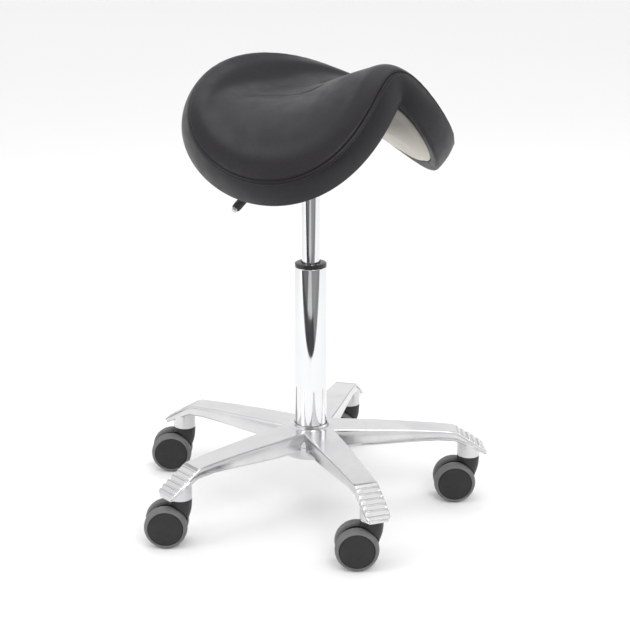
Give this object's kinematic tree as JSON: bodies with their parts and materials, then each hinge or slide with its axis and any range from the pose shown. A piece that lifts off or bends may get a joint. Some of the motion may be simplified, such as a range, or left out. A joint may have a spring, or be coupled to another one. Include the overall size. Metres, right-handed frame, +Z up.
{
  "type": "saddle stool",
  "caption": "Height-adjustable saddle stool: padded saddle seat with a height lever on a gas spring column, star base and twin-wheel castors.",
  "frame": {"origin": "on the floor, at the centre of the footprint of the bounding box", "axes": "+Z up; -Y towards the pommel, the front of the saddle; -X towards the rider's right, where the lever is"},
  "size_m": [0.5516, 0.5582, 0.7081],
  "materials": {
    "polished_aluminium": "polished casting",
    "chrome": "bright chrome plating",
    "zinc_plated_steel": "zinc plated",
    "black_painted_steel": "black powder coat",
    "black_plastic": "satin",
    "black_nylon": "satin, lightly textured",
    "dark_grey_hub": "matt",
    "grey_tread": "matt soft polyurethane",
    "black_rubber": "matt",
    "charcoal_leatherette": "satin, fine grain",
    "seat_foam": "moulded polyurethane foam",
    "cream_shell": "satin moulding"
  },
  "bodies": {
    "base": {"star_base": "polished_aluminium", "column_tube": "chrome", "column_collar": "black_plastic", "guide_bush": "black_plastic", "thrust_bearing": "zinc_plated_steel", "caster_stem_1": "zinc_plated_steel", "caster_stem_2": "zinc_plated_steel", "caster_stem_3": "zinc_plated_steel", "caster_stem_4": "zinc_plated_steel", "caster_stem_5": "zinc_plated_steel"},
    "piston": {"piston_rod": "chrome", "retaining_clip": "zinc_plated_steel", "bump_stop": "black_rubber", "piston": "zinc_plated_steel"},
    "seat": {"gas_cylinder": "chrome", "rod_seal": "black_rubber", "seat_bracket": "black_painted_steel", "lever_pivot_pin": "zinc_plated_steel", "taper_socket": "black_painted_steel", "seat_bolt_1": "zinc_plated_steel", "seat_bolt_2": "zinc_plated_steel", "seat_bolt_3": "zinc_plated_steel", "seat_bolt_4": "zinc_plated_steel", "seat_shell": "cream_shell", "seat_foam": "seat_foam", "cover_top_panel": "charcoal_leatherette", "cover_side_band": "charcoal_leatherette"},
    "lever": {"lever_rod": "zinc_plated_steel", "lever_grip": "black_plastic"},
    "valve": {"valve_pin": "zinc_plated_steel"},
    "caster_1": {"caster_body_1": "black_nylon", "caster_axle_1": "zinc_plated_steel"},
    "wheel_1_a": {"wheel_core_1_a": "dark_grey_hub", "wheel_tread_1_a": "grey_tread"},
    "wheel_1_b": {"wheel_core_1_b": "dark_grey_hub", "wheel_tread_1_b": "grey_tread"},
    "caster_2": {"caster_body_2": "black_nylon", "caster_axle_2": "zinc_plated_steel"},
    "wheel_2_a": {"wheel_core_2_a": "dark_grey_hub", "wheel_tread_2_a": "grey_tread"},
    "wheel_2_b": {"wheel_core_2_b": "dark_grey_hub", "wheel_tread_2_b": "grey_tread"},
    "caster_3": {"caster_body_3": "black_nylon", "caster_axle_3": "zinc_plated_steel"},
    "wheel_3_a": {"wheel_core_3_a": "dark_grey_hub", "wheel_tread_3_a": "grey_tread"},
    "wheel_3_b": {"wheel_core_3_b": "dark_grey_hub", "wheel_tread_3_b": "grey_tread"},
    "caster_4": {"caster_body_4": "black_nylon", "caster_axle_4": "zinc_plated_steel"},
    "wheel_4_a": {"wheel_core_4_a": "dark_grey_hub", "wheel_tread_4_a": "grey_tread"},
    "wheel_4_b": {"wheel_core_4_b": "dark_grey_hub", "wheel_tread_4_b": "grey_tread"},
    "caster_5": {"caster_body_5": "black_nylon", "caster_axle_5": "zinc_plated_steel"},
    "wheel_5_a": {"wheel_core_5_a": "dark_grey_hub", "wheel_tread_5_a": "grey_tread"},
    "wheel_5_b": {"wheel_core_5_b": "dark_grey_hub", "wheel_tread_5_b": "grey_tread"}
  },
  "joints": [
    {"name": "seat_swivel", "type": "hinge", "parent": "base", "child": "piston", "pos_m": [0.0263, -0.0193, 0.0939], "axis": [0, 0, 1], "continuous": true},
    {"name": "seat_height", "type": "slide", "parent": "piston", "child": "seat", "axis": [0, 0, 1], "range_m": [-0.12, 0]},
    {"name": "lever_lift", "type": "hinge", "parent": "seat", "child": "lever", "pos_m": [-0.0037, -0.0193, 0.6035], "axis": [0, 1, 0], "range_deg": [0, 5], "stiffness_Nm_per_rad": 1.5},
    {"name": "valve_press", "type": "slide", "parent": "seat", "child": "valve", "axis": [0, 0, 1], "range_m": [-0.0027, 0]},
    {"name": "caster_swivel_1", "type": "hinge", "parent": "base", "child": "caster_1", "pos_m": [-0.07637, -0.24669, 0.0735], "axis": [0, 0, 1], "continuous": true},
    {"name": "wheel_roll_1_a", "type": "hinge", "parent": "caster_1", "child": "wheel_1_a", "pos_m": [-0.09158, -0.23149, 0.0325], "axis": [-0.7071, -0.7071, 0], "continuous": true},
    {"name": "wheel_roll_1_b", "type": "hinge", "parent": "caster_1", "child": "wheel_1_b", "pos_m": [-0.09158, -0.23149, 0.0325], "axis": [-0.7071, -0.7071, 0], "continuous": true},
    {"name": "caster_swivel_2", "type": "hinge", "parent": "base", "child": "caster_2", "pos_m": [0.21084, -0.18722, 0.0735], "axis": [0, 0, 1], "continuous": true},
    {"name": "wheel_roll_2_a", "type": "hinge", "parent": "caster_2", "child": "wheel_2_a", "pos_m": [0.19564, -0.17201, 0.0325], "axis": [-0.7071, -0.7071, 0], "continuous": true},
    {"name": "wheel_roll_2_b", "type": "hinge", "parent": "caster_2", "child": "wheel_2_b", "pos_m": [0.19564, -0.17201, 0.0325], "axis": [-0.7071, -0.7071, 0], "continuous": true},
    {"name": "caster_swivel_3", "type": "hinge", "parent": "base", "child": "caster_3", "pos_m": [0.24302, 0.10432, 0.0735], "axis": [0, 0, 1], "continuous": true},
    {"name": "wheel_roll_3_a", "type": "hinge", "parent": "caster_3", "child": "wheel_3_a", "pos_m": [0.22782, 0.11952, 0.0325], "axis": [-0.7071, -0.7071, 0], "continuous": true},
    {"name": "wheel_roll_3_b", "type": "hinge", "parent": "caster_3", "child": "wheel_3_b", "pos_m": [0.22782, 0.11952, 0.0325], "axis": [-0.7071, -0.7071, 0], "continuous": true},
    {"name": "caster_swivel_4", "type": "hinge", "parent": "base", "child": "caster_4", "pos_m": [-0.0243, 0.22502, 0.0735], "axis": [0, 0, 1], "continuous": true},
    {"name": "wheel_roll_4_a", "type": "hinge", "parent": "caster_4", "child": "wheel_4_a", "pos_m": [-0.0395, 0.24022, 0.0325], "axis": [-0.7071, -0.7071, 0], "continuous": true},
    {"name": "wheel_roll_4_b", "type": "hinge", "parent": "caster_4", "child": "wheel_4_b", "pos_m": [-0.0395, 0.24022, 0.0325], "axis": [-0.7071, -0.7071, 0], "continuous": true},
    {"name": "caster_swivel_5", "type": "hinge", "parent": "base", "child": "caster_5", "pos_m": [-0.22169, 0.00808, 0.0735], "axis": [0, 0, 1], "continuous": true},
    {"name": "wheel_roll_5_a", "type": "hinge", "parent": "caster_5", "child": "wheel_5_a", "pos_m": [-0.2369, 0.02328, 0.0325], "axis": [-0.7071, -0.7071, 0], "continuous": true},
    {"name": "wheel_roll_5_b", "type": "hinge", "parent": "caster_5", "child": "wheel_5_b", "pos_m": [-0.2369, 0.02328, 0.0325], "axis": [-0.7071, -0.7071, 0], "continuous": true}
  ],
  "couplings": [
    {"joint": "valve_press", "follows": "lever_lift", "m_per_rad": -0.03}
  ]
}
